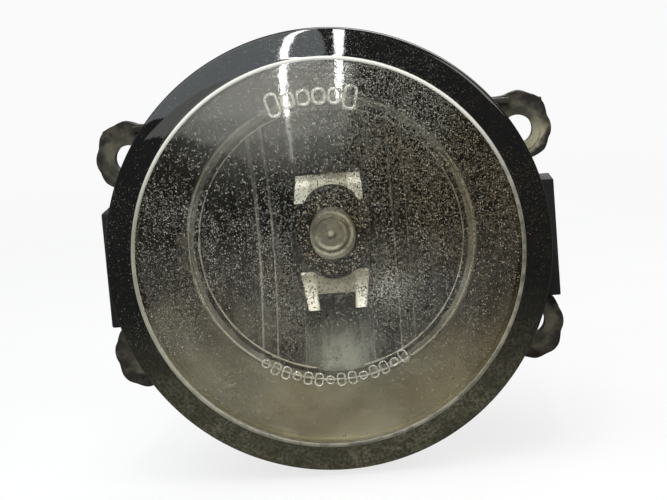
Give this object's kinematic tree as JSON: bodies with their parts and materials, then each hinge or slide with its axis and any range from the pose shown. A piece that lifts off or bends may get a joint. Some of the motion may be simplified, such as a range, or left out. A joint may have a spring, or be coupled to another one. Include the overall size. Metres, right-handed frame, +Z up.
{
  "type": "fog light",
  "caption": "Round front fog light: a glass-fronted lamp unit with reflector and twist-in bulb, tipped by a screw inside a four-eared mounting frame.",
  "frame": {"origin": "centre of the rectangle of four screw holes, on the plane of the ears' front faces", "axes": "+Z up as fitted, the lamp shines along -Y, +X to the right as seen from in front"},
  "size_m": [0.095, 0.086, 0.0922],
  "materials": {
    "frame_plastic": "matt glass-filled nylon, greyed and dusty",
    "housing_plastic": "satin black thermoplastic",
    "lens_glass": "clear pressed glass, weathered and speckled",
    "lens_sealant": "black butyl sealant",
    "bezel_metallising": "dull vacuum-metallised",
    "reflector_metallising": "vacuum-metallised, bright",
    "shield_steel": "satin pressed steel",
    "screw_steel": "zinc-plated steel",
    "adjuster_nylon": "natural nylon",
    "vent_rubber": "matt black rubber",
    "membrane_ptfe": "white porous sheet",
    "base_plastic": "black heat-resistant plastic",
    "o_ring_rubber": "silicone rubber",
    "collar_steel": "bright stainless steel",
    "quartz": "clear quartz",
    "tungsten": "grey drawn wire",
    "terminal_brass": "tinned brass"
  },
  "bodies": {
    "carrier": {"mounting_frame": "frame_plastic", "adjuster_bush": "adjuster_nylon"},
    "lamp": {"lens": "lens_glass", "lens_seal": "lens_sealant", "housing": "housing_plastic", "bezel_ring": "bezel_metallising", "reflector": "reflector_metallising", "bulb_shield": "shield_steel", "shield_rivet_lower": "screw_steel", "shield_rivet_upper": "screw_steel", "vent_cap": "vent_rubber", "vent_membrane": "membrane_ptfe", "reflector_screw_1": "screw_steel", "reflector_screw_2": "screw_steel", "reflector_screw_3": "screw_steel"},
    "adjuster": {"adjuster_screw": "adjuster_nylon", "adjuster_retainer": "screw_steel"},
    "nut": {"adjuster_ball_nut": "adjuster_nylon"},
    "bulb": {"bulb_base": "base_plastic", "bulb_o_ring": "o_ring_rubber", "bulb_metal_collar": "collar_steel", "bulb_glass": "quartz", "filament": "tungsten", "filament_lead_long": "tungsten", "filament_lead_short": "tungsten", "terminal_left": "terminal_brass", "terminal_right": "terminal_brass"}
  },
  "joints": [
    {"name": "lamp_tilt", "type": "hinge", "parent": "carrier", "child": "lamp", "pos_m": [0, 0.0005, 0], "axis": [1, 0, 0], "range_deg": [-3.5, 3.5]},
    {"name": "adjuster_turn", "type": "hinge", "parent": "carrier", "child": "adjuster", "pos_m": [0, 0.016, -0.042], "axis": [0, 1, 0], "range_deg": [-620, 620]},
    {"name": "nut_travel", "type": "slide", "parent": "carrier", "child": "nut", "axis": [0, 1, 0], "range_m": [-0.0026, 0.0026]},
    {"name": "bulb_twist", "type": "hinge", "parent": "lamp", "child": "bulb", "pos_m": [0, 0.0395, 0], "axis": [0, 1, 0], "range_deg": [0, 60]}
  ],
  "couplings": [
    {"joint": "adjuster_turn", "follows": "lamp_tilt", "ratio": -175.93},
    {"joint": "nut_travel", "follows": "lamp_tilt", "m_per_rad": 0.042}
  ]
}
